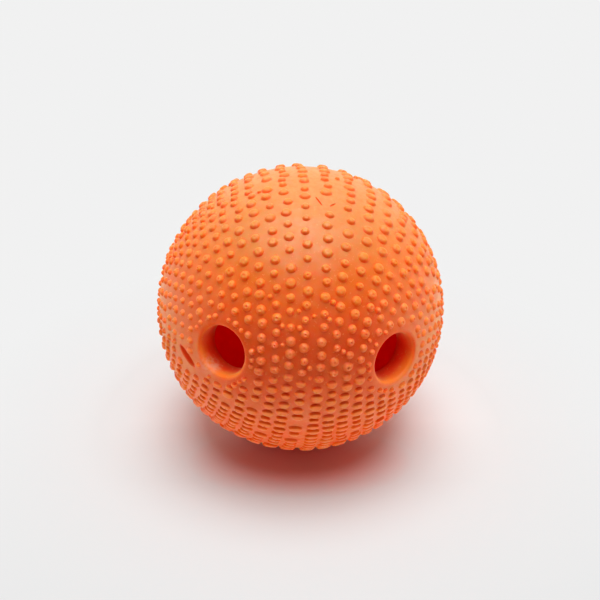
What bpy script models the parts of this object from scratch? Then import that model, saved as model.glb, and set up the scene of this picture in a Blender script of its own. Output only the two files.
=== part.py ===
"""Dog chew ball: a hollow natural-rubber ball, nubbed all over, with two open holes for treats.

The ball is a front and a rear half shell, bonded rim to rim by a ring of cement. It is modelled as it lies on a
floor: both holes to the front (-Y), and its lowest nubs squashed flat at Z = 0.
"""

import math
import random

import bmesh
import bpy
from mathutils import Euler, Vector
from mathutils.geometry import delaunay_2d_cdt

# Driving dimensions, in metres
BALL_DIAMETER = 0.075
WALL = 0.0064
NUB_HEIGHT = 0.0008
NUB_DIAMETER = 0.0022
NUB_CLEARANCE = 0.0002
NEIGHBOUR_DISTANCE = 0.004
HOLE_DIAMETER = 0.0124
HOLE_LIP_RADIUS = 0.0010
HOLE_MARGIN = 0.0006
SEAM_MARGIN = 0.0004
CEMENT_THICKNESS = 0.0002
CEMENT_GAP = 0.0001
FLOOR_SQUASH = 0.0006

# The nubs stand in rings round the ball's ends, right 1 and left -1: angles in degrees, the rest are shares
MIDDLE_STRIP = 0.4
RING_PITCH = 5.2
RING_SPREAD = 12.0
TOP_SPREAD = 22.0
RING_STAGGER = 0.5
STAGGERED_AT = 40.0
RING_COUNT_STEP = 6
MIDDLE_STAGGER = 0.25
NUB_PITCH = 4.5
NUB_CROWDING = 0.22
CROWDED_AT = -43.0
TOP_CROWDING = 0.32
TOP_CROWDED_AT = 80.0
TOP_CROWD_REACH = 50.0
NUB_JITTER = 0.3
TOP_JITTER = 0.8
NUB_SIZE_RANGE = (0.76, 1.10)
END_SHRINK = 0.2
SPREAD_WIDENING = 0.3
LOW_WIDENING = 0.6
TOP_GROWTH = {1: 0.32, -1: 0.12}
LENGTH_SHARE = 1.12
MOULD_SEED = 11

# Where the holes and the seam are, and how the ball has rolled on the floor: angles in degrees
HOLE_SIDE_ANGLE = 35.05
HOLE_LIFT = -2.3
SEAM_TILT = 20.0
BALL_ROLL = (-9.7, 4.8, 3.44)

# Fineness of the facets
NUB_SIDES = 4
RIM_STEPS = 72
CAVITY_SEGMENTS = 32
CAVITY_RINGS = 16
HOLE_STEPS = 28
LIP_STEPS = 3
SHARP_ANGLE = 35.0
MERGE_DISTANCE = 0.00001
PLAN_MERGE = 1e-7

# Sizes that follow from the driving dimensions
TIP_RADIUS = BALL_DIAMETER / 2
SKIN_RADIUS = TIP_RADIUS - NUB_HEIGHT
CAVITY_RADIUS = SKIN_RADIUS - WALL
HOLE_RADIUS = HOLE_DIAMETER / 2
LIP_RADIUS = HOLE_RADIUS + HOLE_LIP_RADIUS
HOLE_INNER_END = CAVITY_RADIUS - WALL
RIM_OFFSET = CEMENT_THICKNESS / 2 + CEMENT_GAP
CENTRE_HEIGHT = TIP_RADIUS - FLOOR_SQUASH

# Surfaces
RUBBER_ORANGE = (0.80, 0.19, 0.045, 1.0)
RUBBER_ROUGHNESS = 0.5
CEMENT_ORANGE = (0.62, 0.16, 0.05, 1.0)
CEMENT_ROUGHNESS = 0.6

SIDEWAYS = Vector((1.0, 0.0, 0.0))


def clear_scene():
    for old in list(bpy.data.objects):
        bpy.data.objects.remove(old, do_unlink=True)


def new_collection(name):
    collection = bpy.data.collections.new(name)
    bpy.context.scene.collection.children.link(collection)
    return collection


def new_material(name, colour, roughness):
    material = bpy.data.materials.new(name)
    material.use_nodes = True
    shader = material.node_tree.nodes["Principled BSDF"]
    shader.inputs["Base Color"].default_value = colour
    shader.inputs["Roughness"].default_value = roughness
    shader.inputs["Metallic"].default_value = 0.0
    return material


def add_object(name, mesh, collection, parent=None):
    thing = bpy.data.objects.new(name, mesh)
    collection.objects.link(thing)
    thing.parent = parent
    return thing


def add_cutter(name, mesh, collection, parent=None):
    cutter = add_object(name, mesh, collection, parent)
    cutter.hide_render = True
    cutter.display_type = "WIRE"
    return cutter


def turn(thing, steps):
    """Spin an open profile, drawn in the XZ plane, once round the object's Z axis."""
    screw = thing.modifiers.new("turn", "SCREW")
    screw.steps = steps
    screw.render_steps = steps
    screw.use_merge_vertices = True
    screw.merge_threshold = MERGE_DISTANCE
    screw.use_normal_calculate = True


def profile_mesh(name, points):
    """A profile of (radius, height) points, joined in order."""
    mesh = bpy.data.meshes.new(name)
    corners = [(radius, 0.0, height) for radius, height in points]
    edges = [(i, i + 1) for i in range(len(points) - 1)]
    mesh.from_pydata(corners, edges, [])
    return mesh


def mesh_of(name, shape):
    mesh = bpy.data.meshes.new(name)
    shape.to_mesh(mesh)
    shape.free()
    return mesh


def direction_at(latitude, around):
    """Unit vector at a latitude from the middle plane (X = 0) to the right, and an angle up from the front (-Y)."""
    aside = math.radians(latitude)
    lifted = math.radians(around)
    return Vector((math.sin(aside), -math.cos(aside) * math.cos(lifted), math.cos(aside) * math.sin(lifted)))


def hole_direction(end):
    return direction_at(end * HOLE_SIDE_ANGLE, HOLE_LIFT)


def front_pole():
    """The middle of the front half shell, square to the plane of the seam."""
    return direction_at(0.0, SEAM_TILT)


def ring_axes(direction):
    """Unit vectors on the skin at a direction: along its ring of nubs, and across it."""
    along = SIDEWAYS.cross(direction).normalized()
    return along, direction.cross(along)


def nub_reach(nub, towards):
    """How far a nub's base reaches from its middle in a direction on the skin."""
    direction, length, width = nub
    along, across = ring_axes(direction)
    return math.hypot(length / 2 * towards.dot(along), width / 2 * towards.dot(across))


def nub_fits(nub, others):
    """Whether a nub keeps off the seam, off the holes' lips and off every nub placed before it."""
    direction = nub[0]
    seam_room = abs(direction.dot(front_pole())) * SKIN_RADIUS - SEAM_MARGIN
    if seam_room < nub_reach(nub, front_pole()):
        return False
    for end in (1, -1):
        hole = hole_direction(end)
        hole_room = direction.angle(hole) * SKIN_RADIUS - LIP_RADIUS - HOLE_MARGIN
        if hole_room < nub_reach(nub, (hole - direction).normalized()):
            return False
    for other in others:
        apart = (other[0] - direction) * SKIN_RADIUS
        distance = apart.length
        if distance < NEIGHBOUR_DISTANCE:
            towards = apart.normalized()
            if distance < nub_reach(nub, towards) + nub_reach(other, towards) + NUB_CLEARANCE:
                return False
    return True


def ring_places(ring, end):
    """Level of a ring, and each nub's angle round it with its share of the even pitch there.

    Neighbouring rings are staggered by half a step high at the front. The nubs stand closest together low at
    the front and, away from the middle rings, on top of the ball.
    """
    level = MIDDLE_STRIP + RING_PITCH * (ring + 0.5)
    shrink = math.cos(math.radians(level))
    count = RING_COUNT_STEP * max(1, round(360.0 * shrink / (RING_COUNT_STEP * NUB_PITCH)))
    crowding = NUB_CROWDING * shrink
    top_crowding = TOP_CROWDING * math.sin(math.radians(2 * level))
    places = []
    for step in range(count):
        phase = step + MIDDLE_STAGGER * end + RING_STAGGER * (ring % 2)
        even = STAGGERED_AT + 360.0 * phase / count
        off_crowd = math.radians(2 * (even - CROWDED_AT))
        around = even - math.degrees(crowding / 2) * math.sin(off_crowd)
        share = 1.0 - crowding * math.cos(off_crowd)
        off_top = (even - TOP_CROWDED_AT) / TOP_CROWD_REACH
        if abs(off_top) < 1.0:
            room = 1.0 - off_top ** 2
            around -= top_crowding * (even - TOP_CROWDED_AT) * room ** 2
            share -= top_crowding * room * (1.0 - 5.0 * off_top ** 2)
        places.append((around, share))
    return level, places


def nub_sites():
    """Each nub's direction, and its base's length along its ring and width across it.

    Over the top and bottom of the ball the rings lie further apart than across its front, most of all at the
    top's right. The nubs stray most and are largest at the top, and under the ball they are drawn out across
    their ring.
    """
    chance = random.Random(MOULD_SEED)
    sites = []
    for end in (1, -1):
        for ring in range(int(90.0 / RING_PITCH)):
            level, places = ring_places(ring, end)
            slope = math.cos(math.radians(level)) ** 2
            swing = math.sin(math.radians(2 * level))
            for around, share in places:
                height = math.sin(math.radians(around))
                if height > 0.0 and end > 0:
                    spread = TOP_SPREAD * height ** 2
                    bulge = swing
                    bulge_rate = 4 * slope - 2
                else:
                    spread = RING_SPREAD * height ** 2
                    bulge = swing * slope
                    bulge_rate = 2 * slope * (4 * slope - 3)
                stray = NUB_JITTER + (TOP_JITTER - NUB_JITTER) * max(0.0, height)
                latitude = level + spread * bulge + chance.uniform(-stray, stray)
                around += chance.uniform(-stray, stray)
                size = NUB_DIAMETER * chance.uniform(*NUB_SIZE_RANGE) * (1.0 - END_SHRINK * (1.0 - slope))
                widening = SPREAD_WIDENING * math.radians(spread) * bulge_rate
                widening += LOW_WIDENING * slope * math.sqrt(max(0.0, -height))
                size *= 1.0 + TOP_GROWTH[end] * swing * max(0.0, height)
                length = size * min(1.0, LENGTH_SHARE * share)
                nub = (direction_at(end * latitude, around), length, size * (1.0 + widening))
                if nub_fits(nub, sites):
                    sites.append(nub)
    return sites


def nub_corners(direction, length, width):
    """Directions of the corners of a nub's base, on the skin."""
    along, across = ring_axes(direction)
    corners = []
    for side in range(NUB_SIDES):
        angle = 2 * math.pi * side / NUB_SIDES
        offset = along * (length / 2 * math.cos(angle)) + across * (width / 2 * math.sin(angle))
        corners.append((direction * SKIN_RADIUS + offset).normalized())
    return corners


def rim_directions(pole):
    """Directions of the points round a half shell's rim, seen from its pole."""
    upward = pole.cross(SIDEWAYS)
    rim_radius = math.sqrt(SKIN_RADIUS ** 2 - RIM_OFFSET ** 2)
    directions = []
    for step in range(RIM_STEPS):
        angle = 2 * math.pi * step / RIM_STEPS
        outward = SIDEWAYS * math.cos(angle) + upward * math.sin(angle)
        directions.append((pole * RIM_OFFSET + outward * rim_radius).normalized())
    return directions


def plan_of(direction, pole):
    """Where a direction lands on a flat map seen along a half shell's pole, on which circles stay circles."""
    upward = pole.cross(SIDEWAYS)
    return Vector((direction.dot(SIDEWAYS), direction.dot(upward))) / (1.0 + direction.dot(pole))


def half_ball_mesh(name, pole, sites):
    """A solid half ball on the pole's side of the seam: skin, nubs and the flat face of its rim."""
    directions = rim_directions(pole)
    rim = list(range(RIM_STEPS))
    pads = []
    for site in sites:
        if site[0].dot(pole) > 0.0:
            pads.append([len(directions) + side for side in range(NUB_SIDES)])
            directions.extend(nub_corners(*site))
    plan = [plan_of(direction, pole) for direction in directions]
    inside_outlines = 1
    filled = delaunay_2d_cdt(plan, [], [rim] + pads, inside_outlines, PLAN_MERGE)
    triangles, sources, owners = filled[2], filled[3], filled[5]

    shape = bmesh.new()
    corners = [shape.verts.new(direction * SKIN_RADIUS) for direction in directions]
    for triangle, owner in zip(triangles, owners):
        if owner == [0]:
            shape.faces.new([corners[sources[point][0]] for point in triangle])
    pad_faces = [shape.faces.new([corners[i] for i in pad]) for pad in pads]
    shape.faces.new([corners[i] for i in rim])
    bmesh.ops.recalc_face_normals(shape, faces=shape.faces)
    bmesh.ops.poke(shape, faces=pad_faces, offset=NUB_HEIGHT, center_mode="MEAN")
    mesh = mesh_of(name, shape)
    mesh.shade_smooth()
    mesh.set_sharp_from_angle(angle=math.radians(SHARP_ANGLE))
    return mesh


def cavity_mesh():
    shape = bmesh.new()
    bmesh.ops.create_uvsphere(shape, u_segments=CAVITY_SEGMENTS, v_segments=CAVITY_RINGS, radius=CAVITY_RADIUS)
    return mesh_of("cavity", shape)


def hole_profile():
    """Half section of the space in a hole: straight bore, then a lip that rounds out to the skin."""
    skin_height = math.sqrt(SKIN_RADIUS ** 2 - LIP_RADIUS ** 2)
    outer_end = TIP_RADIUS + NUB_HEIGHT
    points = [(0.0, outer_end), (LIP_RADIUS, outer_end)]
    for step in range(LIP_STEPS + 1):
        angle = math.pi / 2 * step / LIP_STEPS
        radius = LIP_RADIUS - HOLE_LIP_RADIUS * math.sin(angle)
        height = skin_height - HOLE_LIP_RADIUS * (1.0 - math.cos(angle))
        points.append((radius, height))
    points += [(HOLE_RADIUS, HOLE_INNER_END), (0.0, HOLE_INNER_END)]
    return points


def cut(thing, cutter):
    boolean = thing.modifiers.new(cutter.name, "BOOLEAN")
    boolean.operation = "DIFFERENCE"
    boolean.object = cutter


def make_hole_cutter(name, end, collection, centre):
    cutter = add_cutter(name, profile_mesh(name, hole_profile()), collection, centre)
    cutter.rotation_euler = hole_direction(end).to_track_quat("Z", "X").to_euler()
    turn(cutter, HOLE_STEPS)
    return cutter


def make_floor_cutter(collection):
    shape = bmesh.new()
    bmesh.ops.create_cube(shape, size=BALL_DIAMETER)
    cutter = add_cutter("floor_cutter", mesh_of("floor_cutter", shape), collection)
    cutter.location.z = -BALL_DIAMETER / 2
    return cutter


def make_shell(name, pole, sites, collection, centre, material):
    mesh = half_ball_mesh(name, pole, sites)
    mesh.materials.append(material)
    return add_object(name, mesh, collection, centre)


def make_cement(collection, centre, material):
    """The ring of cement between the rims, turned about the half shells' poles."""
    half = CEMENT_THICKNESS / 2
    outline = [(SKIN_RADIUS, half), (SKIN_RADIUS, -half), (CAVITY_RADIUS, -half), (CAVITY_RADIUS, half)]
    ring = add_object("seam_cement", profile_mesh("seam_cement", outline + outline[:1]), collection, centre)
    ring.rotation_euler = front_pole().to_track_quat("Z", "X").to_euler()
    turn(ring, RIM_STEPS)
    weld = ring.modifiers.new("close_profile", "WELD")
    weld.merge_threshold = MERGE_DISTANCE
    ring.data.materials.append(material)


def main():
    clear_scene()
    parts = new_collection("dog_chew_ball")
    cutters = new_collection("cutters")

    centre = add_object("ball_centre", None, parts)
    centre.location.z = CENTRE_HEIGHT
    centre.rotation_euler = Euler([math.radians(angle) for angle in BALL_ROLL])

    rubber = new_material("orange_rubber", RUBBER_ORANGE, RUBBER_ROUGHNESS)
    cement = new_material("rubber_cement", CEMENT_ORANGE, CEMENT_ROUGHNESS)
    cavity = add_cutter("cavity", cavity_mesh(), cutters, centre)
    floor = make_floor_cutter(cutters)
    right_hole = make_hole_cutter("right_hole", 1, cutters, centre)
    left_hole = make_hole_cutter("left_hole", -1, cutters, centre)

    sites = nub_sites()
    front = make_shell("front_half_shell", front_pole(), sites, parts, centre, rubber)
    for cutter in (cavity, right_hole, left_hole, floor):
        cut(front, cutter)
    rear = make_shell("rear_half_shell", -front_pole(), sites, parts, centre, rubber)
    for cutter in (cavity, floor):
        cut(rear, cutter)
    make_cement(parts, centre, cement)


main()
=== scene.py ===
"""Looks of the dog chew ball: moulded orange rubber, nubbed all over, with two round-lipped treat holes."""

import math
import random
from collections import namedtuple

import bpy
from mathutils import Euler, Matrix, Vector
from mathutils.geometry import delaunay_2d_cdt


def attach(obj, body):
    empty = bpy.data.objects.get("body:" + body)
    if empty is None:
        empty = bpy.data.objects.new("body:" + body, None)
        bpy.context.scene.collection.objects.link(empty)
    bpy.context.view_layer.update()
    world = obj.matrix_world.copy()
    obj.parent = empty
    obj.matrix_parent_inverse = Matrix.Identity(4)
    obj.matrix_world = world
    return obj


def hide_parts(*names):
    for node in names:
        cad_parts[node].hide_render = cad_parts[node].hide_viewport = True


# The ball's driving dimensions, the same as in the part's source, in metres
BALL_DIAMETER = 0.075
WALL = 0.0064
NUB_HEIGHT = 0.0008
NUB_DIAMETER = 0.0022
NUB_CLEARANCE = 0.0002
NEIGHBOUR_DISTANCE = 0.004
HOLE_DIAMETER = 0.0124
HOLE_LIP_RADIUS = 0.0010
HOLE_MARGIN = 0.0006
SEAM_MARGIN = 0.0004
CEMENT_THICKNESS = 0.0002
FLOOR_SQUASH = 0.0006

# The rings of nubs round the ball's ends, right 1 and left -1, the same as in the part's source: angles in
# degrees, the rest are shares
MIDDLE_STRIP = 0.4
RING_PITCH = 5.2
RING_SPREAD = 12.0
TOP_SPREAD = 22.0
RING_STAGGER = 0.5
STAGGERED_AT = 40.0
RING_COUNT_STEP = 6
MIDDLE_STAGGER = 0.25
NUB_PITCH = 4.5
NUB_CROWDING = 0.22
CROWDED_AT = -43.0
TOP_CROWDING = 0.32
TOP_CROWDED_AT = 80.0
TOP_CROWD_REACH = 50.0
NUB_JITTER = 0.3
TOP_JITTER = 0.8
NUB_SIZE_RANGE = (0.76, 1.10)
END_SHRINK = 0.2
SPREAD_WIDENING = 0.3
LOW_WIDENING = 0.6
TOP_GROWTH = {1: 0.32, -1: 0.12}
LENGTH_SHARE = 1.12
MOULD_SEED = 11

# Where the holes and the seam are, and how the ball has rolled on the floor: angles in degrees
HOLE_SIDE_ANGLE = 35.05
HOLE_LIFT = -2.3
SEAM_TILT = 20.0
BALL_ROLL = (-9.7, 4.8, 3.44)

# Sizes that follow from the driving dimensions. The rims meet the cement here, without the solids' gap
TIP_RADIUS = BALL_DIAMETER / 2
SKIN_RADIUS = TIP_RADIUS - NUB_HEIGHT
CAVITY_RADIUS = SKIN_RADIUS - WALL
HOLE_RADIUS = HOLE_DIAMETER / 2
LIP_RADIUS = HOLE_RADIUS + HOLE_LIP_RADIUS
RIM_OFFSET = CEMENT_THICKNESS / 2
CENTRE_HEIGHT = TIP_RADIUS - FLOOR_SQUASH
SIDEWAYS = Vector((1.0, 0.0, 0.0))

# A nub's section, from its foot to the bottom of its dimple: share of its half width, and share of its height
NUB_SECTION = (
    (0.98, 0.18), (0.92, 0.41), (0.83, 0.63), (0.70, 0.81),
    (0.53, 0.94), (0.36, 0.985), (0.19, 0.80), (0.0, 0.66),
)
LOW_BREADTH = 0.3
MIDDLE_TAPER = 0.45
TAPERED_AT = 0.10
TAPER_REACH = 0.40
DIMPLE_SHARE = 0.5
DIMPLE_RANGE = (0.1, 1.3)
LOW_DIMPLE_FADE = 4.0
DIMPLE_PAINTED_SHADE = 0.45
NUB_RISE_RANGE = (0.84, 0.97)
NUB_SEGMENTS = 12
FOOT_FILLET = 0.00008
NUB_SEED = 110

# Small nubs round the holes and scattered between the large ones, with every try counted in a field at the
# front, whose half width and half height are in degrees
HOLE_NUB_COUNT = 28
HOLE_NUB_RANGE = (0.0011, 0.0016)
HOLE_NUB_JITTER = 0.25
HOLE_NUB_MARGIN = HOLE_MARGIN * 1.05
HOLE_NUB_OFFSET = 0.55
SMALL_NUB_RANGE = (0.0009, 0.0015)
SMALL_NUB_RISE = 0.5
SMALL_NUB_TRIES = 4000
SMALL_NUB_FRONT = (30.0, 24.0)
SMALL_NUB_CHANCE = 0.03
SMALL_NUB_SEGMENTS = 10
SMALL_NUB_SEED = 5

# Wear in the skin: place and turn from its ring in degrees, size in metres, the share of its half width by
# which its bottom is off its middle, and how dark its hollow is painted, which is painted shade
Mark = namedtuple("Mark", "latitude around turn length width depth lean darkness")
GASH = Mark(-51.8, -14.8, 66.0, length=0.0074, width=0.0026, depth=0.0012, lean=0.55, darkness=1.0)
UPPER_CREASE = Mark(1.2, 63.5, 26.0, length=0.0036, width=0.0005, depth=0.00035, lean=0.0, darkness=0.7)
SHORT_CREASE = Mark(6.5, 62.1, 132.0, length=0.0021, width=0.0005, depth=0.0003, lean=0.0, darkness=0.7)
MARKS = (GASH, UPPER_CREASE, SHORT_CREASE)
MARK_SECTION = ((1.0, 0.0), (0.86, -0.25), (0.62, -0.72), (0.34, -0.95), (0.0, -1.0))
MARK_RIDGE_SHARE = 0.86
MARK_RIDGE = 0.00012
MARK_MARGIN = 0.0001
MARK_SEGMENTS = 24

# A pale pinkish patch in the left hole: depth under the skin, and place in the bore in shares of its radius
PALE_PATCH_DEPTH = 0.0022
PALE_PATCH_ALONG = 0.80
PALE_PATCH_ACROSS = -0.60

# Fineness of the smooth surfaces
RIM_STEPS = 192
HOLE_STEPS = 64
LIP_STEPS = 8
INNER_EDGE_RADIUS = 0.0006
INNER_EDGE_STEPS = 4
BORE_STEPS = 6
CAVITY_PITCH = 6.0
SHARP_ANGLE = 40.0
PLAN_MERGE = 1e-7

# The rubber's colours, as red, green, blue and alpha, by distance from the ball's centre. The deep red into
# the cavity and the redder ground between the nubs are painted shade, and the paler tips of the nubs painted
# light
NUB_SIDE_RADIUS = SKIN_RADIUS + NUB_HEIGHT * 0.3
DEPTH_COLOURS_AND_PAINTED_LIGHT = (
    (CAVITY_RADIUS, (0.982, 0.010, 0.003, 1.0)),
    (CAVITY_RADIUS + WALL * 0.3, (0.997, 0.032, 0.006, 1.0)),
    (SKIN_RADIUS - HOLE_LIP_RADIUS * 2.5, (0.995, 0.120, 0.018, 1.0)),
    (SKIN_RADIUS - HOLE_LIP_RADIUS * 0.8, (0.985, 0.180, 0.024, 1.0)),
    (SKIN_RADIUS, (0.88, 0.076, 0.004, 1.0)),
    (NUB_SIDE_RADIUS, (0.94, 0.175, 0.012, 1.0)),
    (TIP_RADIUS, (0.96, 0.285, 0.052, 1.0)),
)

# Tints over these colours, some with one for the ground between the nubs and one for the nubs. Most paint
# light
# or shade: the bores' painted shade, the lips' painted light, painted light by height and towards the sides,
# a painted shade at the front, and painted shade on the nubs and in the marks and dimples
BORE_PAINTED_SHADE = (0.997, 0.075, 0.012, 1.0)
LIP_PAINTED_LIGHT = (0.97, 0.235, 0.023, 1.0)
UPPER_PAINTED_LIGHT = (0.68, 0.245, 0.019, 1.0)
TOP_GROUND_PAINTED_LIGHT = (0.62, 0.295, 0.108, 1.0)
TOP_NUB_PAINTED_LIGHT = (0.68, 0.275, 0.058, 1.0)
SIDE_GROUND_PAINTED_LIGHT = (0.99, 0.44, 0.185, 1.0)
SIDE_NUB_PAINTED_LIGHT = (0.94, 0.255, 0.036, 1.0)
LOW_GROUND_PAINTED_LIGHT = (0.99, 0.29, 0.120, 1.0)
LOW_NUB_PAINTED_LIGHT = (0.99, 0.25, 0.035, 1.0)
BOTTOM_PAINTED_LIGHT = (0.96, 0.17, 0.022, 1.0)
FRONT_PAINTED_SHADE = (0.60, 0.11, 0.018, 1.0)
BLOTCH_TINT = (0.97, 0.30, 0.07, 1.0)
MOTTLE_TINT = (0.92, 0.10, 0.010, 1.0)
FLECK_TINT = (0.98, 0.40, 0.15, 1.0)
NUB_WALL_PAINTED_SHADE = (0.74, 0.072, 0.005, 1.0)
NUB_UNDERSIDE_PAINTED_SHADE = (0.96, 0.150, 0.009, 1.0)
LEDGE_PAINTED_SHADE = (0.60, 0.042, 0.004, 1.0)
CREVICE_PAINTED_SHADE = (0.98, 0.12, 0.005, 1.0)
HOLLOW_PAINTED_SHADE = (0.80, 0.045, 0.005, 1.0)
PALE_PATCH_TINT = (0.96, 0.40, 0.24, 1.0)

# Where the tints lie, as spans: the low and high of a value, and the share of the tint at each. First by
# distance from the ball's centre in metres, and by how far the surface faces outwards or up
OUTSIDE = (SKIN_RADIUS - 0.0003, SKIN_RADIUS, 0.0, 1.0)
RAISED = (SKIN_RADIUS, NUB_SIDE_RADIUS, 0.0, 1.0)
# The bores' deeper red is painted shade
BORE_DISTANCE = (CAVITY_RADIUS, SKIN_RADIUS - 0.0025, 1.0, 0.0)
BORE_LEVEL = (-0.70, -0.30, 0.0, 1.0)
BORE_SHADE_STRENGTH = 0.8
# The paler upward faces of the lips are painted light
LIP_DISTANCE = (SKIN_RADIUS - 0.0032, SKIN_RADIUS - 0.0010, 0.0, 1.0)
LIP_FACING = (0.1, 0.5, 0.0, 1.0)

# Then by height above the ball's centre and by distance to its side, both in shares of the skin's radius, for
# the painted light and shade that follow how the light falls on the ball
# A paler, yellower top with a pinkish highlight: painted light
UPPER_HEIGHT = (0.25, 0.80, 0.0, 0.80)
TOP_HEIGHT = (0.64, 0.98, 0.0, 0.80)
# Paler, pinker sides: painted light and painted sheen
LEFT_SIDE = (-1.0, -0.40, 0.95, 0.0)
RIGHT_SIDE = (0.40, 0.95, 0.0, 0.95)
SIDE_HEIGHT = (0.05, 0.50, 1.0, 0.38)
# A pinkish haze on the ground and brighter nubs low down: painted reflection and painted light
LOW_HEIGHT = (-0.30, 0.24, 0.72, 0.0)
LOW_END = (-0.70, -0.30, 0.1, 1.0)
# Deeper orange under the ball: painted light
BOTTOM_HEIGHT = (-0.60, -0.25, 0.55, 0.0)
# A darker band across the front: painted shade
FRONT_FOOT = (-0.05, 0.10, 0.0, 0.40)
FRONT_TOP = (0.28, 0.45, 1.0, 0.0)
FRONT_WIDTH = (0.3, 0.7, 1.0, 0.0)

# Then the painted shade on the nubs: their walls by how far these face outwards, their undersides and upper
# ledges by how far these face up more than the ball does there, and the crevices round them by how open the
# space near is
# Darker, redder nub walls: painted shade
NUB_WALL_LEVEL = (0.50, 0.88, 0.65, 0.0)
NUB_WALL_TILT = (0.0, 0.25, 1.0, 0.0)
NUB_WALL_FOOT = (-0.20, 0.0, 0.0, 1.0)
NUB_WALL_TOP = (0.20, 0.50, 1.0, 0.0)
NUB_WALL_WIDTH = (0.45, 0.75, 1.0, 0.4)
# Redder undersides of the upper nubs: painted shade
UNDERSIDE_TILT = (-0.50, -0.10, 1.0, 0.0)
UNDERSIDE_FOOT = (0.10, 0.35, 0.0, 1.0)
UNDERSIDE_TOP = (0.5, 0.95, 0.8, 0.6)
# Dark upper ledges of the low nubs: painted shade
LEDGE_TILT = (0.40, 0.75, 0.0, 1.0)
LEDGE_TOP = (0.0, 0.20, 1.0, 0.0)
LEDGE_WIDTH = (0.50, 0.85, 1.0, 0.55)
LEDGE_FOOT = (-0.5, -0.05, 0.30, 0.88)
# Redder crevices round the nubs: painted shade
CREVICE_REACH = 0.0012
CREVICE_SAMPLES = 6
CREVICE_OPENNESS = (0.55, 0.92, 0.65, 0.0)
CREVICE_FOOT = (0.30, 0.55, 0.0, 1.0)

# Unevenness of the rubber, the pale patch in the left hole and the strength of the marks' painted shade:
# noises as scale and detail, with the spans that they drive
BLOTCH_NOISE = (90.0, 3.0)
BLOTCH_SHARE = (0.45, 0.75, 0.0, 0.12)
MOTTLE_NOISE = (900.0, 3.0)
MOTTLE_SHARE = (0.45, 0.75, 0.0, 0.22)
FLECK_NOISE = (1700.0, 2.0)
FLECK_SHARE = (0.64, 0.74, 0.0, 0.45)
PALE_PATCH_NOISE = (700.0, 3.0)
PALE_PATCH_SHARE = (0.40, 0.60, 0.1, 0.8)
PALE_PATCH_REACH = (0.0014, 0.0032, 1.0, 0.0)
GRAIN_NOISE = (2500.0, 2.0)
GRAIN_STRENGTH = 0.25
GRAIN_DEPTH = 0.00005
HOLLOW_SHADE_STRENGTH = 0.9

# Gloss of the rubber: worn smooth on the nubs' tips, shiny high up, dull in the marks and on the ledges
ROUGHNESS = (0.3, 0.7, 0.38, 0.54)
WORN_TIPS = (NUB_SIDE_RADIUS, TIP_RADIUS, 0.0, 0.16)
WORN_HEIGHT = (0.3, 0.6, 1.0, 0.15)
WORN_GLOSS = 2.0
GLOSS_NOISE = (500.0, 4.0)
GLOSS = (0.35, 0.65, 0.08, 0.26)
SHINE_FOOT = (0.60, 0.80, 0.0, 0.12)
SHINE_TOP = (0.86, 0.98, 1.0, 0.3)
DULLING = (0.0, 1.0, 1.0, 0.2)
SHEEN = 0.15
SHEEN_ROUGHNESS = 0.4
SHEEN_TINT = (1.0, 0.86, 0.80, 1.0)

# How far light scatters in the rubber, in metres: further in the lips and the cavity, little by the seam
SCATTER_COLOUR = (1.0, 0.15, 0.05)
LIP_SCATTER = (SKIN_RADIUS - 0.0010, SKIN_RADIUS - 0.00015, 0.004, 0.0010)
CAVITY_SCATTER = (CAVITY_RADIUS, SKIN_RADIUS - 0.0015, 0.008, 0.0)
BORE_SCATTER = 0.006
MARK_SCATTER = (0.0, 1.0, 1.0, 0.1)
SEAM_SCATTER = (0.0005, 0.006, 0.04, 1.0)

# The floor: its colours as seen, paler beside and behind the ball, which is painted light, with a dark warm
# core under its front, which is a painted shadow, and as it throws light back at the ball. Further out it
# glows an even pale grey. Spans are in metres
FLOOR_REACH = 4.0
FLOOR_ROUGHNESS = 0.9
FLOOR_COLOUR = (0.58, 0.58, 0.58, 1.0)
PAINTED_LIGHT_BESIDE = (0.78, 0.81, 0.82, 1.0)
PAINTED_LIGHT_DEPTH = (-0.026, 0.0, 0.0, 1.0)
PAINTED_LIGHT_REACH = (0.030, 0.056, 1.0, 0.0)
PAINTED_SHADOW_COLOUR = (0.67, 0.42, 0.40, 1.0)
PAINTED_SHADOW_SQUEEZE = (1.0, 2.0, 1.0)
PAINTED_SHADOW_PLACE = (0.0, -0.036, 0.0)
PAINTED_SHADOW_REACH = (0.014, 0.030, 1.0, 0.0)
FRONT_BOUNCE = (0.10, 0.10, 0.10, 1.0)
NEAR_BOUNCE = (0.97, 0.97, 0.97, 1.0)
BOUNCE_DEPTH = (-0.20, -0.09, 0.0, 1.0)
FAR_REACH = (0.038, 0.10, 0.0, 1.0)
FAR_GLOW = (-0.09, 0.0, 0.81, 0.88)
WHITE = (1.0, 1.0, 1.0, 1.0)

# Light: one wide softbox overhead, and the room's light, which is dim at the front and brighter behind the
# ball and at its sides. The backdrop is how bright the room itself is seen
SOFTBOX_WIDTH = 0.92
SOFTBOX_POWER = 13.5
SOFTBOX_PLACE = (0.04, -0.10, 1.0)
ROOM_LIGHT = (-0.5, 0.4, 0.02, 0.60)
SIDE_LIGHT = (0.7, 0.95, 0.0, 0.35)
BACKDROP = 0.88
LIGHT_BOUNCES = 32

# Camera: the ball's centre in the photo, in pixels, and the view that fits its outline
IMAGE_SIZE = 600.0
CENTRE_PIXEL = (300.3, 306.9)
OUTLINE_PIXELS = 144.0
CAMERA_DISTANCE = 7 * TIP_RADIUS
CAMERA_ELEVATION = 30.0
SENSOR_WIDTH = 36.0
CLIP_START = 0.01


def direction_at(latitude, around):
    """Unit vector at a latitude right of the middle plane (X = 0), and an angle up from the front (-Y)."""
    aside = math.radians(latitude)
    lifted = math.radians(around)
    return Vector((math.sin(aside), -math.cos(aside) * math.cos(lifted), math.cos(aside) * math.sin(lifted)))


def hole_direction(end):
    return direction_at(end * HOLE_SIDE_ANGLE, HOLE_LIFT)


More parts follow.
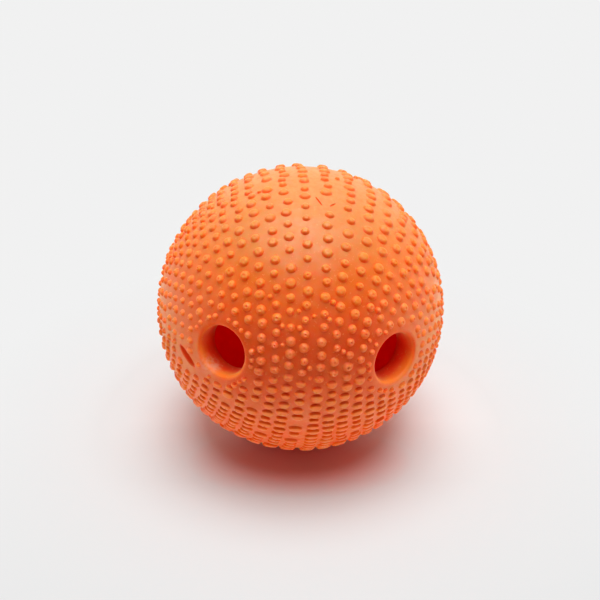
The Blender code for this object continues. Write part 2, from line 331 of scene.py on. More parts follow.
def front_pole():
    """The middle of the front half shell, square to the plane of the seam."""
    return direction_at(0.0, SEAM_TILT)


def ring_axes(direction):
    """Unit vectors on the skin at a direction: along its ring of nubs, and across it."""
    along = SIDEWAYS.cross(direction).normalized()
    return along, direction.cross(along)


def nub_reach(nub, towards):
    """How far a nub's base reaches from its middle in a direction on the skin."""
    direction, length, width = nub
    along, across = ring_axes(direction)
    return math.hypot(length / 2 * towards.dot(along), width / 2 * towards.dot(across))


def nub_fits(nub, others):
    """Whether a nub keeps off the seam, off the holes' lips and off every nub placed before it."""
    direction = nub[0]
    seam_room = abs(direction.dot(front_pole())) * SKIN_RADIUS - SEAM_MARGIN
    if seam_room < nub_reach(nub, front_pole()):
        return False
    for end in (1, -1):
        hole = hole_direction(end)
        hole_room = direction.angle(hole) * SKIN_RADIUS - LIP_RADIUS - HOLE_MARGIN
        if hole_room < nub_reach(nub, (hole - direction).normalized()):
            return False
    for other in others:
        apart = (other[0] - direction) * SKIN_RADIUS
        distance = apart.length
        if distance < NEIGHBOUR_DISTANCE:
            towards = apart.normalized()
            if distance < nub_reach(nub, towards) + nub_reach(other, towards) + NUB_CLEARANCE:
                return False
    return True


def ring_places(ring, end):
    """Level of a ring, and each nub's angle round it with its share of the even pitch there.

    Neighbouring rings are staggered by half a step high at the front. The nubs stand closest together low at
    the front and, away from the middle rings, on top of the ball.
    """
    level = MIDDLE_STRIP + RING_PITCH * (ring + 0.5)
    shrink = math.cos(math.radians(level))
    count = RING_COUNT_STEP * max(1, round(360.0 * shrink / (RING_COUNT_STEP * NUB_PITCH)))
    crowding = NUB_CROWDING * shrink
    top_crowding = TOP_CROWDING * math.sin(math.radians(2 * level))
    places = []
    for step in range(count):
        phase = step + MIDDLE_STAGGER * end + RING_STAGGER * (ring % 2)
        even = STAGGERED_AT + 360.0 * phase / count
        off_crowd = math.radians(2 * (even - CROWDED_AT))
        around = even - math.degrees(crowding / 2) * math.sin(off_crowd)
        share = 1.0 - crowding * math.cos(off_crowd)
        off_top = (even - TOP_CROWDED_AT) / TOP_CROWD_REACH
        if abs(off_top) < 1.0:
            room = 1.0 - off_top ** 2
            around -= top_crowding * (even - TOP_CROWDED_AT) * room ** 2
            share -= top_crowding * room * (1.0 - 5.0 * off_top ** 2)
        places.append((around, share))
    return level, places


def nub_sites():
    """Each nub's direction, and its base's length along its ring and width across it.

    Over the top and bottom of the ball the rings lie further apart than across its front, most of all at the
    top's right. The nubs stray most and are largest at the top, and under the ball they are drawn out across
    their ring.
    """
    chance = random.Random(MOULD_SEED)
    sites = []
    for end in (1, -1):
        for ring in range(int(90.0 / RING_PITCH)):
            level, places = ring_places(ring, end)
            slope = math.cos(math.radians(level)) ** 2
            swing = math.sin(math.radians(2 * level))
            for around, share in places:
                height = math.sin(math.radians(around))
                if height > 0.0 and end > 0:
                    spread = TOP_SPREAD * height ** 2
                    bulge = swing
                    bulge_rate = 4 * slope - 2
                else:
                    spread = RING_SPREAD * height ** 2
                    bulge = swing * slope
                    bulge_rate = 2 * slope * (4 * slope - 3)
                stray = NUB_JITTER + (TOP_JITTER - NUB_JITTER) * max(0.0, height)
                latitude = level + spread * bulge + chance.uniform(-stray, stray)
                around += chance.uniform(-stray, stray)
                size = NUB_DIAMETER * chance.uniform(*NUB_SIZE_RANGE) * (1.0 - END_SHRINK * (1.0 - slope))
                widening = SPREAD_WIDENING * math.radians(spread) * bulge_rate
                widening += LOW_WIDENING * slope * math.sqrt(max(0.0, -height))
                size *= 1.0 + TOP_GROWTH[end] * swing * max(0.0, height)
                length = size * min(1.0, LENGTH_SHARE * share)
                nub = (direction_at(end * latitude, around), length, size * (1.0 + widening))
                if nub_fits(nub, sites):
                    sites.append(nub)
    return sites


def small_nub_sites(sites):
    """Small nubs in the gaps: a ring round each hole, many between the holes, a few elsewhere."""
    chance = random.Random(SMALL_NUB_SEED)
    tries = []
    for end in (1, -1):
        axis = hole_direction(end)
        along, across = ring_axes(axis)
        for step in range(HOLE_NUB_COUNT):
            size = chance.uniform(*HOLE_NUB_RANGE)
            angle = 2 * math.pi * (step + chance.uniform(-HOLE_NUB_JITTER, HOLE_NUB_JITTER)) / HOLE_NUB_COUNT
            tilt = (LIP_RADIUS + HOLE_NUB_MARGIN + size * HOLE_NUB_OFFSET) / SKIN_RADIUS
            outward = along * math.cos(angle) + across * math.sin(angle)
            tries.append((axis * math.cos(tilt) + outward * math.sin(tilt), size))
    for _ in range(SMALL_NUB_TRIES):
        latitude = math.degrees(math.asin(chance.uniform(-1.0, 1.0)))
        around = chance.uniform(-180.0, 180.0)
        size = chance.uniform(*SMALL_NUB_RANGE)
        in_front = abs(latitude) < SMALL_NUB_FRONT[0] and abs(around) < SMALL_NUB_FRONT[1]
        if chance.random() < (1.0 if in_front else SMALL_NUB_CHANCE):
            tries.append((direction_at(latitude, around), size))
    added = []
    for direction, size in tries:
        nub = (direction, size, size)
        if nub_fits(nub, sites + added):
            added.append(nub)
    return added


def mark_axes(mark):
    """A mark's middle on the skin, and unit vectors along it and across it."""
    direction = direction_at(mark.latitude, mark.around)
    along, across = ring_axes(direction)
    turn = math.radians(mark.turn)
    lengthwise = along * math.cos(turn) + across * math.sin(turn)
    return direction, lengthwise, direction.cross(lengthwise)


def clear_of_marks(nub):
    """Whether a nub keeps off every mark of wear."""
    for mark in MARKS:
        direction, lengthwise, sidewise = mark_axes(mark)
        apart = (nub[0] - direction) * SKIN_RADIUS
        towards = apart.normalized()
        reach = math.hypot(mark.length / 2 * towards.dot(lengthwise), mark.width / 2 * towards.dot(sidewise))
        if apart.length < reach + nub_reach(nub, towards) + MARK_MARGIN:
            return False
    return True


def all_nubs():
    """Every nub with its rise, the depth of its dimple and the steps round it."""
    chance = random.Random(NUB_SEED)
    sites = [nub for nub in nub_sites() if clear_of_marks(nub)]
    nubs = []
    for nub in sites:
        rise = NUB_HEIGHT * chance.uniform(*NUB_RISE_RANGE)
        fade = max(nub[0].z, -LOW_DIMPLE_FADE * nub[0].z)
        dimple = chance.uniform(*DIMPLE_RANGE) * max(0.0, 1.0 - fade)
        nubs.append((nub, rise, dimple, NUB_SEGMENTS))
    for nub in filter(clear_of_marks, small_nub_sites(sites)):
        nubs.append((nub, nub[1] * SMALL_NUB_RISE, 0.0, SMALL_NUB_SEGMENTS))
    return nubs


def rim_directions(pole, radius):
    """Directions of the points round a half shell's edge at a radius, seen from its pole."""
    upward = pole.cross(SIDEWAYS)
    rim_radius = math.sqrt(radius ** 2 - RIM_OFFSET ** 2)
    directions = []
    for step in range(RIM_STEPS):
        angle = 2 * math.pi * step / RIM_STEPS
        outward = SIDEWAYS * math.cos(angle) + upward * math.sin(angle)
        directions.append((pole * RIM_OFFSET + outward * rim_radius).normalized())
    return directions


def plan_of(direction, pole):
    """Where a direction lands on a flat map seen along a half shell's pole, on which circles stay circles."""
    upward = pole.cross(SIDEWAYS)
    return Vector((direction.dot(SIDEWAYS), direction.dot(upward))) / (1.0 + direction.dot(pole))


class Surface:
    """Points and faces of one half shell while they are built, with the painted shade of its marks and
    dimples.
    """

    def __init__(self, pole):
        self.pole = pole
        self.points = []
        self.faces = []
        self.darkness = {}

    def ring(self, points):
        first = len(self.points)
        self.points.extend(points)
        return list(range(first, len(self.points)))

    def bridge(self, outer, inner):
        for i in range(len(outer)):
            self.faces.append((outer[i - 1], outer[i], inner[i], inner[i - 1]))

    def cap(self, ring, point):
        tip = len(self.points)
        self.points.append(point)
        for i in range(len(ring)):
            self.faces.append((ring[i - 1], ring[i], tip))
        return tip

    def fill(self, loops, loose, outward):
        """Triangles between closed loops, of which the first is the outer one, through the loose points."""
        chosen = [i for loop in loops for i in loop] + loose
        place = {i: number for number, i in enumerate(chosen)}
        owner = {i: number for number, loop in enumerate(loops) for i in loop}
        plan = [plan_of(self.points[i].normalized(), self.pole) for i in chosen]
        edges = [(place[loop[i - 1]], place[loop[i]]) for loop in loops for i in range(len(loop))]
        _, _, triangles, sources, _, _ = delaunay_2d_cdt(plan, edges, [], 0, PLAN_MERGE)
        for triangle in triangles:
            corners = [chosen[sources[i][0]] for i in triangle]
            owners = {owner.get(i, -1) for i in corners}
            if len(owners) > 1 or owners == {-1}:
                self.faces.append(tuple(corners if outward else corners[::-1]))

    def mesh(self, name, placing):
        """The finished mesh, pressed flat on the floor."""
        corners = [placing @ point for point in self.points]
        for corner in corners:
            corner.z = max(corner.z, 0.0)
        mesh = smooth_mesh(name, corners, self.faces)
        # The mark layer holds how dark the marks and dimples are painted: their painted shade
        shade_layer = mesh.attributes.new("mark", "FLOAT", "POINT")
        for i, darkness in self.darkness.items():
            shade_layer.data[i].value = darkness
        return mesh


def smooth_mesh(name, corners, faces):
    mesh = bpy.data.meshes.new(name)
    mesh.from_pydata(corners, [], faces)
    mesh.validate()
    mesh.shade_smooth()
    mesh.set_sharp_from_angle(angle=math.radians(SHARP_ANGLE))
    return mesh


def oval_ring(direction, half_length, half_width, radius, segments):
    """An oval along and across a direction's ring, drawn on the skin and laid on a sphere of a radius."""
    along, across = ring_axes(direction)
    foot = direction * SKIN_RADIUS
    long_axis = along * half_length
    wide_axis = across * half_width
    points = []
    for segment in range(segments):
        angle = 2 * math.pi * segment / segments
        point = foot + long_axis * math.cos(angle) + wide_axis * math.sin(angle)
        points.append(point.normalized() * radius)
    return points


def add_nub(surface, nub, rise, dimple, segments):
    """One nub: a button with a fillet at its foot and a dimple in its top. Returns its outline on the skin.

    The nubs across the ball's middle are tapered, and those under it are broad.
    """
    direction, length, width = nub
    taper = max(0.0, 1.0 - ((direction.z - TAPERED_AT) / TAPER_REACH) ** 2)
    breadth = 1.0 + MIDDLE_TAPER * taper - LOW_BREADTH * math.sqrt(max(0.0, -direction.z))
    fillet = 1.0 + 2 * FOOT_FILLET / min(length, width)
    foot = oval_ring(direction, length / 2 * fillet, width / 2 * fillet, SKIN_RADIUS, segments)
    outline = surface.ring(foot)
    ring = outline
    for share, level in NUB_SECTION:
        if share < DIMPLE_SHARE:
            level = 1.0 - (1.0 - level) * dimple
        else:
            share **= breadth
        radius = SKIN_RADIUS + rise * level
        if share > 0.0:
            oval = oval_ring(direction, length / 2 * share, width / 2 * share, radius, segments)
            inner = surface.ring(oval)
            surface.bridge(ring, inner)
            ring = inner
        else:
            tip = surface.cap(ring, direction * radius)
            # The dimple's bottom and the ring round it are painted darker, as painted shade
            surface.darkness[tip] = DIMPLE_PAINTED_SHADE * dimple
            surface.darkness.update((i, DIMPLE_PAINTED_SHADE * dimple / 2) for i in ring)
    return outline


def add_mark(surface, mark):
    """A worn hollow, with its lowest line towards one edge, which stands up a little. Returns its outline."""
    direction, lengthwise, sidewise = mark_axes(mark)
    rings = []
    for share, level in MARK_SECTION:
        half_length = mark.length / 2 * share
        half_width = mark.width / 2 * share
        shift = sidewise * (mark.width / 2 * mark.lean * (1.0 - share))
        points = []
        for segment in range(MARK_SEGMENTS):
            angle = 2 * math.pi * segment / MARK_SEGMENTS
            offset = lengthwise * (half_length * math.cos(angle)) + sidewise * (half_width * math.sin(angle))
            ridge = MARK_RIDGE * mark.lean * math.sin(angle)
            if share == MARK_RIDGE_SHARE and ridge > 0.0:
                radius = SKIN_RADIUS + ridge
            else:
                radius = SKIN_RADIUS + mark.depth * level
            points.append((direction * SKIN_RADIUS + offset + shift).normalized() * radius)
        if share > 0.0:
            rings.append(surface.ring(points))
        else:
            surface.cap(rings[-1], points[0])
    for outer, inner in zip(rings, rings[1:]):
        surface.bridge(outer, inner)
    # The hollow's inside is painted darker, as painted shade
    surface.darkness.update((i, mark.darkness) for i in range(rings[1][0], len(surface.points)))
    return rings[0]


def arc(centre, height, radius, start, turn, steps):
    """Points (radius, height) on an arc round a centre, by an angle from straight up."""
    points = []
    for step in range(steps + 1):
        angle = start - turn * step / steps
        points.append((centre + radius * math.sin(angle), height + radius * math.cos(angle)))
    return points


def hole_section():
    """Half section of a hole as (radius, height): lip from the skin, bore, and inner edge to the cavity."""
    lip_height = math.sqrt((SKIN_RADIUS - HOLE_LIP_RADIUS) ** 2 - LIP_RADIUS ** 2)
    edge_centre = HOLE_RADIUS + INNER_EDGE_RADIUS
    edge_height = math.sqrt((CAVITY_RADIUS + INNER_EDGE_RADIUS) ** 2 - edge_centre ** 2)
    skin_angle = math.atan2(LIP_RADIUS, lip_height)
    cavity_turn = math.pi / 2 - math.atan2(edge_centre, edge_height)
    section = arc(LIP_RADIUS, lip_height, HOLE_LIP_RADIUS, skin_angle, skin_angle + math.pi / 2, LIP_STEPS)
    for step in range(1, BORE_STEPS):
        section.append((HOLE_RADIUS, lip_height + (edge_height - lip_height) * step / BORE_STEPS))
    section += arc(edge_centre, edge_height, INNER_EDGE_RADIUS, -math.pi / 2, cavity_turn, INNER_EDGE_STEPS)
    return section


def add_hole(surface, axis):
    """A hole's lip, bore and inner edge. Returns its outlines on the skin and on the cavity."""
    along, across = ring_axes(axis)
    rings = []
    for radius, height in hole_section():
        points = []
        for step in range(HOLE_STEPS):
            angle = 2 * math.pi * step / HOLE_STEPS
            points.append(axis * height + (along * math.cos(angle) + across * math.sin(angle)) * radius)
        rings.append(surface.ring(points))
    for outer, inner in zip(rings, rings[1:]):
        surface.bridge(outer, inner)
    return rings[0], rings[-1]


def cavity_points(pole, holes):
    """Points spread evenly over the inside of a half's cavity, clear of its rim and of the holes."""
    hole_reach = math.asin((HOLE_RADIUS + INNER_EDGE_RADIUS) / CAVITY_RADIUS) + math.radians(CAVITY_PITCH) / 2
    upward = pole.cross(SIDEWAYS)
    points = [pole * CAVITY_RADIUS]
    for ring in range(1, int(90.0 / CAVITY_PITCH)):
        tilt = math.radians(CAVITY_PITCH * ring)
        count = round(360.0 * math.sin(tilt) / CAVITY_PITCH)
        for step in range(count):
            angle = 2 * math.pi * (step + RING_STAGGER * (ring % 2)) / count
            outward = SIDEWAYS * math.cos(angle) + upward * math.sin(angle)
            direction = pole * math.cos(tilt) + outward * math.sin(tilt)
            if all(direction.angle(hole) > hole_reach for hole in holes):
                points.append(direction * CAVITY_RADIUS)
    return points


def half_shell_mesh(name, pole, holes, marks, nubs, placing):
    """One half of the ball as a closed mesh: skin with nubs, holes, cavity and rim face."""
    surface = Surface(pole)
    outer_rim = surface.ring([direction * SKIN_RADIUS for direction in rim_directions(pole, SKIN_RADIUS)])
    inner_rim = surface.ring([direction * CAVITY_RADIUS for direction in rim_directions(pole, CAVITY_RADIUS)])
    surface.bridge(inner_rim, outer_rim)
    skin_outlines = [outer_rim]
    cavity_outlines = [inner_rim]
    for axis in holes:
        skin_hole, cavity_hole = add_hole(surface, axis)
        skin_outlines.append(skin_hole)
        cavity_outlines.append(cavity_hole)
    for nub, rise, dimple, segments in nubs:
        if nub[0].dot(pole) > 0.0:
            skin_outlines.append(add_nub(surface, nub, rise, dimple, segments))
    for mark in marks:
        skin_outlines.append(add_mark(surface, mark))
    surface.fill(skin_outlines, [], True)
    surface.fill(cavity_outlines, surface.ring(cavity_points(pole, holes)), False)
    return surface.mesh(name, placing)


def cement_mesh(name, pole, placing):
    """The ring of cement between the rims, flush with the skin and with the cavity."""
    section = (
        (SKIN_RADIUS, -RIM_OFFSET), (SKIN_RADIUS, RIM_OFFSET),
        (CAVITY_RADIUS, RIM_OFFSET), (CAVITY_RADIUS, -RIM_OFFSET),
    )
    upward = pole.cross(SIDEWAYS)
    corners = []
    for step in range(RIM_STEPS):
        angle = 2 * math.pi * step / RIM_STEPS
        outward = SIDEWAYS * math.cos(angle) + upward * math.sin(angle)
        corners.extend(placing @ (pole * offset + outward * radius) for radius, offset in section)
    faces = []
    for step in range(RIM_STEPS):
        this = step * len(section)
        following = (step + 1) % RIM_STEPS * len(section)
        for corner in range(len(section)):
            after = (corner + 1) % len(section)
            faces.append((this + corner, following + corner, following + after, this + after))
    return smooth_mesh(name, corners, faces)


class Nodes:
    """Short calls for adding and joining the nodes of a material or of the world."""

    # Sockets of a mix node for colours, which come after those for numbers and vectors
    MIX_FACTOR = 0
    MIX_FIRST = 6
    MIX_SECOND = 7
    MIX_RESULT = 2

    def __init__(self, owner):
        owner.use_nodes = True
        self.tree = owner.node_tree

    def add(self, kind, settings=None, **inputs):
        node = self.tree.nodes.new(kind)
        for key, value in (settings or {}).items():
            setattr(node, key, value)
        for key, value in inputs.items():
            self.set(node, key, value)
        return node

    def set(self, node, key, value):
        """Join an input of a node to a socket, or give it a value of its own."""
        if isinstance(value, bpy.types.NodeSocket):
            self.tree.links.new(value, node.inputs[key])
        else:
            node.inputs[key].default_value = value

    def math(self, operation, first, second=0.0):
        node = self.add("ShaderNodeMath", {"operation": operation})
        self.set(node, 0, first)
        self.set(node, 1, second)
        return node.outputs["Value"]

    def product(self, first, *others):
        for other in others:
            first = self.math("MULTIPLY", first, other)
        return first

    def vector(self, operation, first, second=(0.0, 0.0, 0.0)):
        """Vector maths that gives a vector."""
        return self.vector_node(operation, first, second).outputs["Vector"]

    def measure(self, operation, first, second=(0.0, 0.0, 0.0)):
        """Vector maths that gives a number."""
        return self.vector_node(operation, first, second).outputs["Value"]

    def vector_node(self, operation, first, second):
        node = self.add("ShaderNodeVectorMath", {"operation": operation})
        self.set(node, 0, first)
        self.set(node, 1, second)
        return node

    def parts(self, vector):
        """The X, Y and Z of a vector, by name."""
        return self.add("ShaderNodeSeparateXYZ", None, Vector=vector).outputs

    def span(self, value, low, high, bottom, top):
        """Map a value from low..high to bottom..top, clamped."""
        node = self.add("ShaderNodeMapRange", None, Value=value)
        for key, number in zip(("From Min", "From Max", "To Min", "To Max"), (low, high, bottom, top)):
            node.inputs[key].default_value = number
        return node.outputs["Result"]

    def blend(self, factor, first, second):
        node = self.add("ShaderNodeMix", {"data_type": "RGBA"})
        self.set(node, self.MIX_FACTOR, factor)
        self.set(node, self.MIX_FIRST, first)
        self.set(node, self.MIX_SECOND, second)
        return node.outputs[self.MIX_RESULT]

    def tint(self, base, tint, *factors):
        """Lay a tint over a colour, by the product of the factors."""
        return self.blend(self.product(*factors), base, tint)

    def ramp(self, value, stops):
        node = self.add("ShaderNodeValToRGB", None, Fac=value)
        elements = node.color_ramp.elements
        while len(elements) < len(stops):
            elements.new(0.5)
        for element, (place, colour) in zip(elements, stops):
            element.position = place
            element.color = colour
        return node.outputs["Color"]

    def noise(self, place, scale, detail):
        return self.add("ShaderNodeTexNoise", None, Vector=place, Scale=scale, Detail=detail).outputs["Fac"]


class BallPoint:
    """Where a shaded point lies on the ball and how it faces, and the masks used more than once."""

    def __init__(self, n, pole):
        self.place = n.add("ShaderNodeTexCoord").outputs["Object"]
        offset = n.vector("SUBTRACT", self.place, (0.0, 0.0, CENTRE_HEIGHT))
        normal = n.add("ShaderNodeNewGeometry").outputs["Normal"]
        self.distance = n.measure("LENGTH", offset)
        self.off_seam = n.math("ABSOLUTE", n.measure("DOT_PRODUCT", offset, pole))
        self.across = n.math("DIVIDE", n.parts(offset)["X"], SKIN_RADIUS)
        self.sideways = n.math("ABSOLUTE", self.across)
        self.height = n.math("DIVIDE", n.parts(offset)["Z"], SKIN_RADIUS)
        self.facing_up = n.parts(normal)["Z"]
        self.tilt = n.math("SUBTRACT", self.facing_up, self.height)
        self.level = n.math("DIVIDE", n.measure("DOT_PRODUCT", normal, offset), self.distance)
        self.outside = n.span(self.distance, *OUTSIDE)
        self.raised = n.span(self.distance, *RAISED)
        self.bore = n.product(n.span(self.level, *BORE_LEVEL), n.span(self.distance, *BORE_DISTANCE))
        # The upper ledges of the low nubs, where shade is painted
        self.ledge = n.product(
            self.outside, n.span(self.tilt, *LEDGE_TILT), n.span(self.height, *LEDGE_TOP),
            n.span(self.sideways, *LEDGE_WIDTH))
        # How dark the marks and dimples are painted: their painted shade
        self.mark = n.add("ShaderNodeAttribute", {"attribute_name": "mark"}).outputs["Fac"]
        self.mottle = n.noise(self.place, *MOTTLE_NOISE)


def radius_share(radius):
    """Where a distance from the ball's centre lies between the cavity and the nubs' tips, from 0 to 1."""
    return (radius - CAVITY_RADIUS) / (TIP_RADIUS - CAVITY_RADIUS)


def depth_and_painted_light_colour(n, ball):
    """The rubber's colour by depth, with painted shade deep inside and between the nubs and painted light on
    their tips, the bores' painted shade, and painted light on the upward faces of the lips.
    """
    depth = n.span(ball.distance, CAVITY_RADIUS, TIP_RADIUS, 0.0, 1.0)
    base = n.ramp(depth, [(radius_share(radius), colour) for radius, colour in DEPTH_COLOURS_AND_PAINTED_LIGHT])
    # The bores' deeper red: painted shade
    base = n.tint(base, BORE_PAINTED_SHADE, ball.bore, BORE_SHADE_STRENGTH)
    # The lips' paler upward faces: painted light
    inside = n.math("SUBTRACT", 1.0, ball.outside)
    return n.tint(
        base, LIP_PAINTED_LIGHT, inside, n.span(ball.distance, *LIP_DISTANCE), n.span(ball.facing_up, *LIP_FACING))


def zoned_painted_light(n, ball, base):
    """Painted light and shade on the skin and its nubs by height and towards the sides: a paler, yellower top
    with a pinkish highlight, paler pinkish sides, a pinkish painted reflection and brighter nubs low down,
    deeper orange at the bottom, and a darker front.
    """
    outside = ball.outside
    base = n.tint(base, UPPER_PAINTED_LIGHT, outside, n.span(ball.height, *UPPER_HEIGHT))
    top_painted_light = n.blend(ball.raised, TOP_GROUND_PAINTED_LIGHT, TOP_NUB_PAINTED_LIGHT)
    base = n.tint(base, top_painted_light, outside, n.span(ball.height, *TOP_HEIGHT))
    side = n.math("MAXIMUM", n.span(ball.across, *LEFT_SIDE), n.span(ball.across, *RIGHT_SIDE))
    side_painted_light = n.blend(ball.raised, SIDE_GROUND_PAINTED_LIGHT, SIDE_NUB_PAINTED_LIGHT)
    base = n.tint(base, side_painted_light, outside, side, n.span(ball.height, *SIDE_HEIGHT))
    low_painted_light = n.blend(ball.raised, LOW_GROUND_PAINTED_LIGHT, LOW_NUB_PAINTED_LIGHT)
    base = n.tint(base, low_painted_light, outside, n.span(ball.height, *LOW_HEIGHT), n.span(ball.height, *LOW_END))
    base = n.tint(base, BOTTOM_PAINTED_LIGHT, outside, n.span(ball.height, *BOTTOM_HEIGHT))
    # Painted shade across the front
    front = n.product(n.span(ball.height, *FRONT_FOOT), n.span(ball.height, *FRONT_TOP))
    return n.tint(base, FRONT_PAINTED_SHADE, outside, front, n.span(ball.sideways, *FRONT_WIDTH))


def uneven_colour(n, ball, base):
    """Blotches, mottle and flecks."""
    base = n.tint(base, BLOTCH_TINT, n.span(n.noise(ball.place, *BLOTCH_NOISE), *BLOTCH_SHARE))
    base = n.tint(base, MOTTLE_TINT, n.span(ball.mottle, *MOTTLE_SHARE))
    return n.tint(base, FLECK_TINT, n.span(n.noise(ball.place, *FLECK_NOISE), *FLECK_SHARE))


def nub_painted_shade(n, ball, base):
    """Painted shade on the nubs: darker, redder walls, undersides and ledges, and redder crevices round them.
    """
    wall = n.product(n.span(ball.level, *NUB_WALL_LEVEL), n.span(ball.tilt, *NUB_WALL_TILT))
    wall = n.product(wall, n.span(ball.height, *NUB_WALL_FOOT), n.span(ball.height, *NUB_WALL_TOP))
    base = n.tint(base, NUB_WALL_PAINTED_SHADE, ball.outside, wall, n.span(ball.sideways, *NUB_WALL_WIDTH))
    underside = n.product(n.span(ball.height, *UNDERSIDE_FOOT), n.span(ball.height, *UNDERSIDE_TOP))
    base = n.tint(base, NUB_UNDERSIDE_PAINTED_SHADE, ball.outside, underside, n.span(ball.tilt, *UNDERSIDE_TILT))
    base = n.tint(base, LEDGE_PAINTED_SHADE, ball.ledge, n.span(ball.height, *LEDGE_FOOT))
    # Ambient occlusion drives the painted shade in the crevices
    nearby = {"samples": CREVICE_SAMPLES, "only_local": True}
    openness = n.add("ShaderNodeAmbientOcclusion", nearby, Distance=CREVICE_REACH).outputs["AO"]
    crevice = n.product(n.span(openness, *CREVICE_OPENNESS), n.span(ball.height, *CREVICE_FOOT))
    return n.tint(base, CREVICE_PAINTED_SHADE, ball.outside, crevice)


def hollow_shade_and_pale_patch(n, ball, base, pale_patch):
    """Painted shade in the marks and dimples, and a pale pinkish patch in the left hole."""
    # Painted shade in the marks and dimples
    base = n.tint(base, HOLLOW_PAINTED_SHADE, ball.mark, HOLLOW_SHADE_STRENGTH)
    patchy = n.span(n.noise(ball.place, *PALE_PATCH_NOISE), *PALE_PATCH_SHARE)
    return n.tint(base, PALE_PATCH_TINT, patchy, n.span(n.measure("DISTANCE", ball.place, pale_patch), *PALE_PATCH_REACH))


def set_gloss(n, ball, shader):
    """Roughness, gloss and sheen of the rubber."""
    worn = n.product(n.span(ball.distance, *WORN_TIPS), n.span(ball.height, *WORN_HEIGHT))
    n.set(shader, "Roughness", n.math("SUBTRACT", n.span(ball.mottle, *ROUGHNESS), worn))
    gloss = n.span(n.noise(ball.place, *GLOSS_NOISE), *GLOSS)
    gloss = n.math("ADD", gloss, n.product(worn, WORN_GLOSS))
    gloss = n.math("ADD", gloss, n.product(n.span(ball.height, *SHINE_FOOT), n.span(ball.height, *SHINE_TOP)))
    gloss = n.product(gloss, n.span(ball.mark, *DULLING), n.span(ball.ledge, *DULLING))
    n.set(shader, "Specular IOR Level", gloss)
    n.set(shader, "Sheen Weight", SHEEN)
    n.set(shader, "Sheen Roughness", SHEEN_ROUGHNESS)
    n.set(shader, "Sheen Tint", SHEEN_TINT)


def set_scatter(n, ball, shader):
    """How far light scatters in the rubber."""
    inside = n.math("ADD", n.span(ball.distance, *CAVITY_SCATTER), n.product(ball.bore, BORE_SCATTER))
    scatter = n.math("ADD", n.span(ball.distance, *LIP_SCATTER), inside)
    scatter = n.product(scatter, n.span(ball.mark, *MARK_SCATTER), n.span(ball.off_seam, *SEAM_SCATTER))
    n.set(shader, "Subsurface Weight", 1.0)
    n.set(shader, "Subsurface Radius", SCATTER_COLOUR)
    n.set(shader, "Subsurface Scale", scatter)


def rubber_material(name, pale_patch, pole):
    """Orange rubber, mottled and speckled, with painted light and shade: deep red inside and redder between
    the nubs as painted shade, paler on their tips as painted light, and more painted light and shade by
    height and side.
    """
    material = bpy.data.materials.new(name)
    n = Nodes(material)
    shader = n.tree.nodes["Principled BSDF"]
    ball = BallPoint(n, pole)
    base = depth_and_painted_light_colour(n, ball)
    base = zoned_painted_light(n, ball, base)
    base = uneven_colour(n, ball, base)
    base = nub_painted_shade(n, ball, base)
    base = hollow_shade_and_pale_patch(n, ball, base, pale_patch)
    n.set(shader, "Base Color", base)
    set_gloss(n, ball, shader)
    set_scatter(n, ball, shader)
    grain = n.noise(ball.place, *GRAIN_NOISE)
    bump = n.add("ShaderNodeBump", None, Strength=GRAIN_STRENGTH, Distance=GRAIN_DEPTH, Height=grain)
    n.set(shader, "Normal", bump.outputs["Normal"])
    return material


def seen_share(n):
    """1 where a surface is seen, straight or through or in another one, and 0 where it only lights others."""
    path = n.add("ShaderNodeLightPath").outputs
    seen = n.math("MAXIMUM", path["Is Camera Ray"], path["Is Transmission Ray"])
    return n.math("MAXIMUM", seen, path["Is Glossy Ray"])


def floor_material(name):
    """Pale studio floor: lit and shadowed round the object, with painted light beside and behind it and a
    painted shadow under its front, and an even pale grey further out.
    """
    material = bpy.data.materials.new(name)
    n = Nodes(material)
    shader = n.tree.nodes["Principled BSDF"]
    seen = seen_share(n)
    place = n.add("ShaderNodeTexCoord").outputs["Object"]
    distance = n.measure("LENGTH", place)
    depth = n.parts(place)["Y"]
    beside = n.product(n.span(depth, *PAINTED_LIGHT_DEPTH), n.span(distance, *PAINTED_LIGHT_REACH))
    painted_shadow = n.span(n.measure("DISTANCE", n.vector("MULTIPLY", place, PAINTED_SHADOW_SQUEEZE), PAINTED_SHADOW_PLACE), *PAINTED_SHADOW_REACH)
    # Painted light beside and behind the ball, and a painted warm shadow under its front
    shown = n.tint(n.tint(FLOOR_COLOUR, PAINTED_LIGHT_BESIDE, beside), PAINTED_SHADOW_COLOUR, painted_shadow)
    bounce = n.blend(n.span(depth, *BOUNCE_DEPTH), FRONT_BOUNCE, NEAR_BOUNCE)
    n.set(shader, "Base Color", n.blend(seen, bounce, shown))
    n.set(shader, "Roughness", FLOOR_ROUGHNESS)
    n.set(shader, "Specular IOR Level", 0.0)
    glow = n.add("ShaderNodeEmission", None, Color=WHITE, Strength=n.span(depth, *FAR_GLOW))
    mix = n.add("ShaderNodeMixShader")
    n.set(mix, 0, n.product(n.span(distance, *FAR_REACH), seen))
    n.set(mix, 1, shader.outputs["BSDF"])
    n.set(mix, 2, glow.outputs["Emission"])
    n.set(n.tree.nodes["Material Output"], "Surface", mix.outputs["Shader"])
    return material


def add_piece(name, mesh, material, node):
    piece = bpy.data.objects.new(name, mesh)
    bpy.context.scene.collection.objects.link(piece)
    mesh.materials.append(material)
    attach(piece, "root")
    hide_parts(node)


def add_floor():
    mesh = bpy.data.meshes.new("floor")
    corners = [(x * FLOOR_REACH, y * FLOOR_REACH, 0.0) for x, y in ((-1, -1), (1, -1), (1, 1), (-1, 1))]
    mesh.from_pydata(corners, [], [(0, 1, 2, 3)])
    mesh.materials.append(floor_material("studio_floor"))
    floor = bpy.data.objects.new("floor", mesh)
    bpy.context.scene.collection.objects.link(floor)


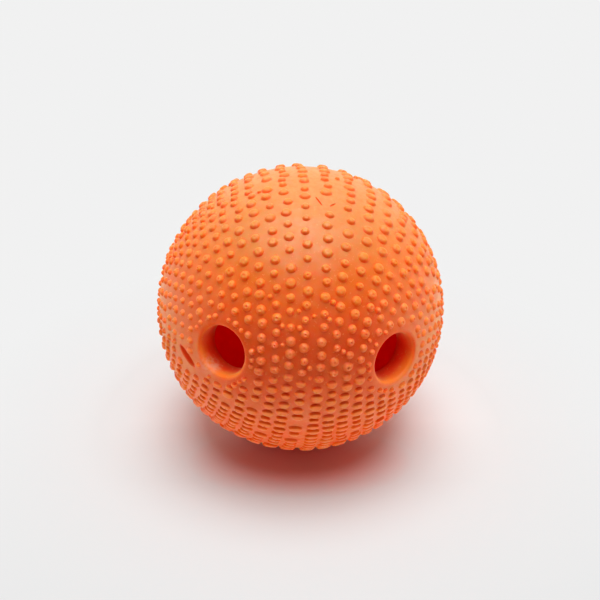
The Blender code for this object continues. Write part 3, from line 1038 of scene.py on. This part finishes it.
def add_softbox():
    light = bpy.data.lights.new("softbox", "AREA")
    light.shape = "DISK"
    light.size = SOFTBOX_WIDTH
    light.energy = SOFTBOX_POWER
    softbox = bpy.data.objects.new("softbox", light)
    softbox.location = SOFTBOX_PLACE
    softbox.rotation_euler = Vector(SOFTBOX_PLACE).to_track_quat("Z", "Y").to_euler()
    bpy.context.scene.collection.objects.link(softbox)


def add_room():
    """The room's own light, and the pale backdrop that is seen of it."""
    world = bpy.data.worlds.new("studio")
    n = Nodes(world)
    towards = n.parts(n.add("ShaderNodeTexCoord").outputs["Generated"])
    behind = n.span(towards["Y"], *ROOM_LIGHT)
    beside = n.span(n.math("ABSOLUTE", towards["X"]), *SIDE_LIGHT)
    shown = n.product(seen_share(n), BACKDROP)
    background = n.tree.nodes["Background"]
    n.set(background, "Color", WHITE)
    n.set(background, "Strength", n.math("MAXIMUM", shown, n.math("ADD", behind, beside)))
    bpy.context.scene.world = world


def add_camera():
    camera = bpy.data.cameras.new("camera")
    focal_pixels = OUTLINE_PIXELS * math.sqrt((CAMERA_DISTANCE / TIP_RADIUS) ** 2 - 1.0)
    camera.sensor_width = SENSOR_WIDTH
    camera.lens = focal_pixels * SENSOR_WIDTH / IMAGE_SIZE
    camera.shift_x = (IMAGE_SIZE / 2 - CENTRE_PIXEL[0]) / IMAGE_SIZE
    camera.shift_y = (CENTRE_PIXEL[1] - IMAGE_SIZE / 2) / IMAGE_SIZE
    camera.clip_start = CLIP_START
    viewer = bpy.data.objects.new("camera", camera)
    tilt = math.radians(CAMERA_ELEVATION)
    back = Vector((0.0, -math.cos(tilt), math.sin(tilt)))
    viewer.location = Vector((0.0, 0.0, CENTRE_HEIGHT)) + back * CAMERA_DISTANCE
    viewer.rotation_euler = Euler((math.pi / 2 - tilt, 0.0, 0.0))
    bpy.context.scene.collection.objects.link(viewer)
    bpy.context.scene.camera = viewer


def pale_patch_place():
    """The middle of the pale patch, on the bore of the left hole."""
    axis = hole_direction(-1)
    along, across = ring_axes(axis)
    aside = (along * PALE_PATCH_ALONG + across * PALE_PATCH_ACROSS) * HOLE_RADIUS
    return axis * (SKIN_RADIUS - PALE_PATCH_DEPTH) + aside


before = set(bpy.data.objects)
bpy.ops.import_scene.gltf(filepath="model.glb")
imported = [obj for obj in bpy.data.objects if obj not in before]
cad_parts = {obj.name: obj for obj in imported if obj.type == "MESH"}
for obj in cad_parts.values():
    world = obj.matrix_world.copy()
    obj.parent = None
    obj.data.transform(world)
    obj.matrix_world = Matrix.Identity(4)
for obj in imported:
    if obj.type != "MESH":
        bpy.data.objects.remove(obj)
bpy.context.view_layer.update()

rolled = Euler([math.radians(angle) for angle in BALL_ROLL]).to_matrix().to_4x4()
placing = Matrix.Translation((0.0, 0.0, CENTRE_HEIGHT)) @ rolled
rubber = rubber_material("orange_rubber", placing @ pale_patch_place(), rolled.to_3x3() @ front_pole())
nubs = all_nubs()
holes = [hole_direction(end) for end in (1, -1)]
front = half_shell_mesh("front_rubber_half", front_pole(), holes, MARKS, nubs, placing)
rear = half_shell_mesh("rear_rubber_half", -front_pole(), [], [], nubs, placing)
bond = cement_mesh("seam_bond", front_pole(), placing)
add_piece("front_rubber_half", front, rubber, "front_half_shell")
add_piece("rear_rubber_half", rear, rubber, "rear_half_shell")
add_piece("seam_bond", bond, rubber, "seam_cement")

add_floor()
add_softbox()
add_room()
add_camera()
bpy.context.scene.view_settings.view_transform = "Standard"
bpy.context.scene.cycles.max_bounces = LIGHT_BOUNCES
bpy.context.scene.cycles.diffuse_bounces = LIGHT_BOUNCES
